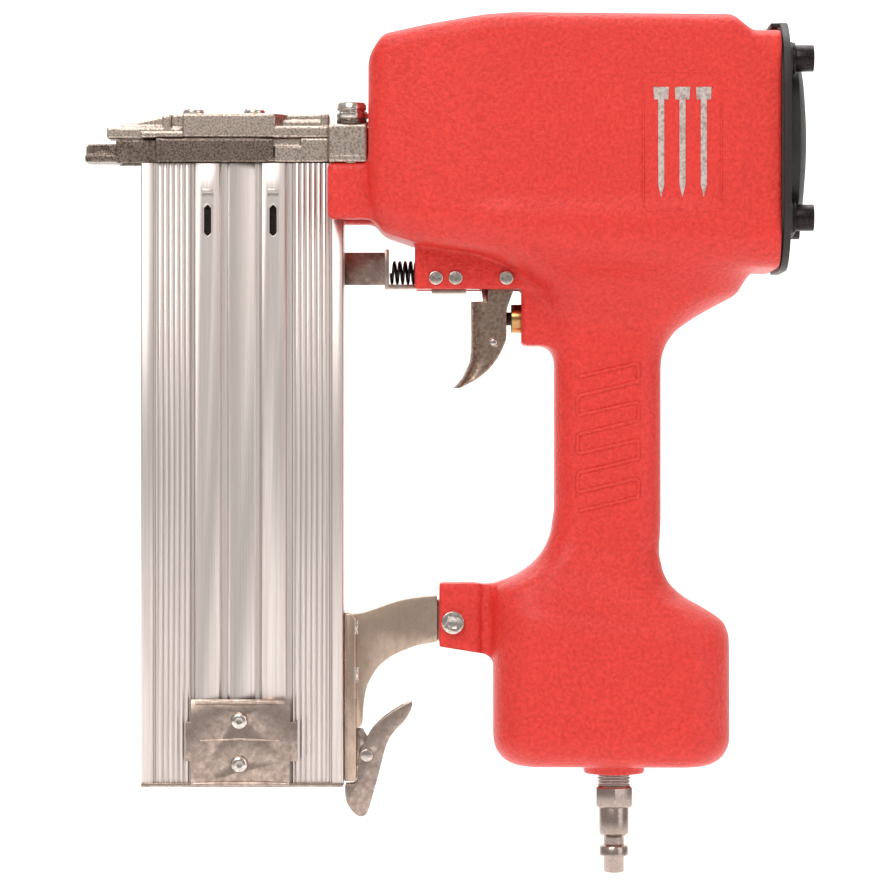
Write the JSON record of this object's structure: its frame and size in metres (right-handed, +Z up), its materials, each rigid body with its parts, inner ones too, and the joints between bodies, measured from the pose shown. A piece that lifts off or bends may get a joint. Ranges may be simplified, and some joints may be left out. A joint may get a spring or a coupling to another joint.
{
  "type": "flooring nailer",
  "caption": "Pneumatic floor nailer with painted die-cast body, hanging handle and tank, long straight aluminium magazine and a nose along its firing axis.",
  "frame": {"origin": "firing axis at the tip of the contact foot", "axes": "+X runs back along the firing axis to the cap, +Z up, +Y towards the fixed magazine rail; nails leave along -X"},
  "size_m": [0.2948, 0.09, 0.3477],
  "materials": {
    "painted_die_casting": "orange-peel enamel on die-cast aluminium",
    "black_cap": "satin powder coat on die-cast aluminium",
    "anodised_aluminium": "satin anodised",
    "nickel_plated_cast": "tumbled nickel plate",
    "nickel_plated_sheet": "plated sheet",
    "bright_steel": "zinc plated",
    "spring_steel": "black oiled",
    "brass": "machined",
    "black_rubber": "moulded",
    "hardened_steel": "ground",
    "black_plastic": "moulded",
    "gasket_sheet": "cut fibre sheet",
    "zinc_plated_plug": "turned and plated"
  },
  "bodies": {
    "root": {"housing": "painted_die_casting", "cylinder_sleeve": "anodised_aluminium", "sleeve_o_ring": "black_rubber", "bumper": "black_rubber", "cylinder_cap": "black_cap", "cap_gasket": "gasket_sheet", "cap_bolts": "bright_steel", "cap_washers": "bright_steel", "head_valve_spring": "spring_steel", "nose_guide": "nickel_plated_cast", "nose_cover": "nickel_plated_cast", "nose_cover_screws": "bright_steel", "nose_bolts": "bright_steel", "nose_bolt_washers": "bright_steel", "rail_screws": "bright_steel", "magazine_rail": "anodised_aluminium", "magazine_bracket": "nickel_plated_sheet", "bracket_screw": "bright_steel", "bracket_nut": "bright_steel", "latch_pin": "bright_steel", "latch_spring": "spring_steel", "safety_spring": "spring_steel", "retaining_clip": "nickel_plated_sheet", "guide_pins": "bright_steel", "pin_clips": "spring_steel", "trigger_pin": "bright_steel", "trigger_spring": "spring_steel", "valve_body": "brass", "valve_o_rings": "black_rubber", "valve_spring": "spring_steel", "valve_retainer": "hardened_steel", "air_plug": "zinc_plated_plug"},
    "piston_assembly": {"piston": "anodised_aluminium", "piston_ring": "black_plastic", "driver_blade": "hardened_steel"},
    "head_valve_body": {"head_valve": "black_plastic", "head_valve_seal": "black_rubber"},
    "magazine_slider": {"magazine_cover": "anodised_aluminium", "magazine_end_plate": "nickel_plated_sheet", "end_plate_screws": "bright_steel", "pusher_rod": "hardened_steel", "pusher_spring": "spring_steel"},
    "nail_pusher": {"pusher": "nickel_plated_sheet"},
    "latch": {"latch_lever": "nickel_plated_sheet"},
    "safety": {"safety_contact": "nickel_plated_cast", "safety_link": "nickel_plated_sheet"},
    "trigger_body": {"trigger": "nickel_plated_sheet", "lever_pin": "bright_steel"},
    "lever": {"trigger_lever": "hardened_steel"},
    "stem": {"valve_stem": "black_plastic"}
  },
  "joints": [
    {"name": "piston_stroke", "type": "slide", "parent": "root", "child": "piston_assembly", "axis": [-1, 0, 0], "range_m": [0, 0.0945]},
    {"name": "head_valve_lift", "type": "slide", "parent": "root", "child": "head_valve_body", "axis": [1, 0, 0], "range_m": [0, 0.006], "stiffness_N_per_m": 1500, "springref_m": -0.01, "deforming": ["head_valve_spring"]},
    {"name": "magazine_slide", "type": "slide", "parent": "root", "child": "magazine_slider", "axis": [0, 0, -1], "range_m": [0, 0.185]},
    {"name": "pusher_slide", "type": "slide", "parent": "magazine_slider", "child": "nail_pusher", "axis": [0, 0, -1], "range_m": [0, 0.165], "stiffness_N_per_m": 20, "springref_m": -0.25, "deforming": ["pusher_spring"]},
    {"name": "latch_swing", "type": "hinge", "parent": "root", "child": "latch", "pos_m": [0.1148, 0, -0.2504], "axis": [0, -1, 0], "range_deg": [0, 18], "stiffness_Nm_per_rad": 0.3, "springref_deg": -17.19},
    {"name": "safety_slide", "type": "slide", "parent": "root", "child": "safety", "axis": [1, 0, 0], "range_m": [0, 0.0075], "stiffness_N_per_m": 800, "springref_m": -0.01, "deforming": ["safety_spring"]},
    {"name": "trigger_pull", "type": "hinge", "parent": "root", "child": "trigger_body", "pos_m": [0.1718, 0, -0.0558], "axis": [0, -1, 0], "range_deg": [0, 9], "stiffness_Nm_per_rad": 1, "springref_deg": -17.19},
    {"name": "lever_swing", "type": "hinge", "parent": "trigger_body", "child": "lever", "pos_m": [0.1666, 0, -0.0819], "axis": [0, 1, 0], "range_deg": [0, 19.6]},
    {"name": "stem_slide", "type": "slide", "parent": "root", "child": "stem", "axis": [1, 0, 0], "range_m": [0, 0.0027], "deforming": ["valve_spring"]}
  ],
  "couplings": [
    {"joint": "lever_swing", "follows": "safety_slide", "rad_per_m": 45.379},
    {"joint": "stem_slide", "follows": "trigger_pull", "m_per_rad": 0.016552}
  ]
}
